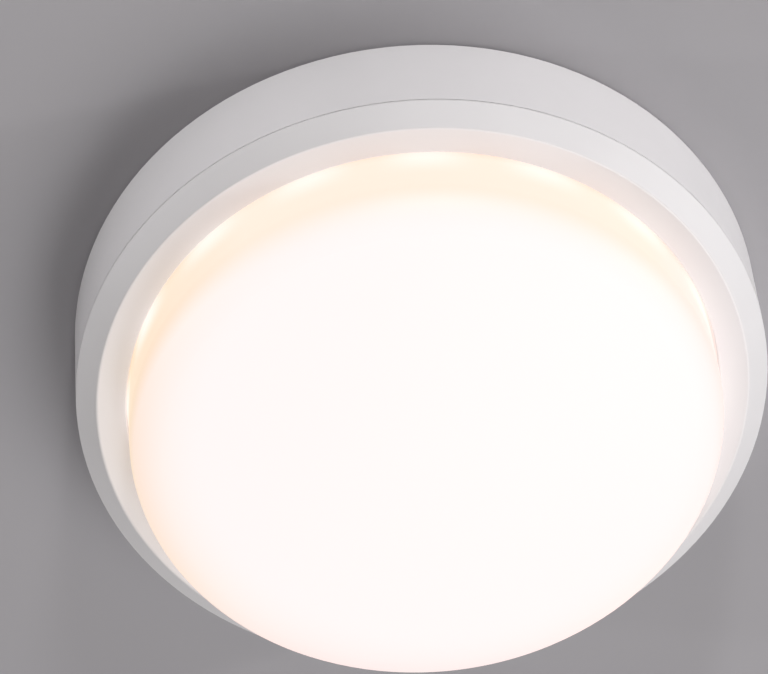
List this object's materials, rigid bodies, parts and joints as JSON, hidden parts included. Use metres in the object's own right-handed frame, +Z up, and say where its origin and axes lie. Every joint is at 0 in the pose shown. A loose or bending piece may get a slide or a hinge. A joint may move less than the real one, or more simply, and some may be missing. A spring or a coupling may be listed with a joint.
{
  "type": "outdoor wall light",
  "caption": "Round surface-mounted wall light: shallow white body, bevelled twist-off trim ring, domed opal drum diffuser, with LED ring, driver and push-button terminals inside.",
  "frame": {"origin": "centre of the mounting face, where the light's axis meets the wall", "axes": "+Y into the wall, so the light faces -Y; +Z up; +X to the right as seen from the front"},
  "size_m": [0.28, 0.0959, 0.28],
  "materials": {
    "body_paint": "die-cast aluminium, white powder coat, fine orange peel",
    "ring_paint": "white moulded plastic, fine satin texture",
    "opal_diffuser": "opal polycarbonate, satin",
    "foam": "closed-cell foam",
    "silicone": "translucent grey silicone",
    "rubber_black": "matt moulded rubber",
    "clamp_plastic": "moulded nylon",
    "zinc_screw": "bright zinc plate",
    "terminal_plastic": "moulded polyamide",
    "brass_contact": "plain brass",
    "button_orange": "moulded polyamide",
    "tinned_tag": "tin plate",
    "lead_green": "green and yellow insulation",
    "lead_brown": "brown insulation",
    "lead_blue": "blue insulation",
    "tray_paint": "white painted steel sheet",
    "board_white": "white solder mask on aluminium",
    "led_package": "moulded white package",
    "led_phosphor": "yellow phosphor",
    "connector_white": "moulded polyamide",
    "driver_plastic": "white flame-retardant plastic",
    "board_green": "green circuit board with parts",
    "lead_red": "red silicone insulation",
    "lead_black": "black silicone insulation"
  },
  "bodies": {
    "housing": {"housing": "body_paint", "wall_gasket": "foam", "diffuser_gasket": "silicone", "cable_grommet": "rubber_black", "spare_entry_plug": "rubber_black", "cord_clamp": "clamp_plastic", "cord_clamp_screws": "zinc_screw", "terminal_block": "terminal_plastic", "terminal_contacts": "brass_contact", "terminal_screws": "zinc_screw", "earth_tag": "tinned_tag", "earth_screw": "zinc_screw", "earth_lead": "lead_green", "live_lead": "lead_brown", "neutral_lead": "lead_blue", "gear_tray": "tray_paint", "tray_screws": "zinc_screw", "led_board": "board_white", "led_packages": "led_package", "led_emitters": "led_phosphor", "board_screws": "zinc_screw", "board_connector": "connector_white", "driver_case": "driver_plastic", "driver_board": "board_green", "driver_lid": "driver_plastic", "driver_screws": "zinc_screw", "led_lead_positive": "lead_red", "led_lead_negative": "lead_black"},
    "diffuser": {"diffuser": "opal_diffuser"},
    "trim_ring": {"trim_ring": "ring_paint"},
    "button_live": {"terminal_button_live": "button_orange"},
    "button_neutral": {"terminal_button_neutral": "button_orange"},
    "button_earth": {"terminal_button_earth": "button_orange"}
  },
  "joints": [
    {"name": "cover_pull", "type": "slide", "parent": "housing", "child": "diffuser", "axis": [0, -1, 0], "range_m": [0, 0.09]},
    {"name": "ring_twist", "type": "hinge", "parent": "diffuser", "child": "trim_ring", "pos_m": [0, 0, 0], "axis": [0, -1, 0], "range_deg": [0, 20]},
    {"name": "press_live", "type": "slide", "parent": "housing", "child": "button_live", "axis": [0, 1, 0], "range_m": [0, 0.0015], "stiffness_N_per_m": 200, "springref_m": -0.0015},
    {"name": "press_neutral", "type": "slide", "parent": "housing", "child": "button_neutral", "axis": [0, 1, 0], "range_m": [0, 0.0015], "stiffness_N_per_m": 200, "springref_m": -0.0015},
    {"name": "press_earth", "type": "slide", "parent": "housing", "child": "button_earth", "axis": [0, 1, 0], "range_m": [0, 0.0015], "stiffness_N_per_m": 200, "springref_m": -0.0015}
  ]
}
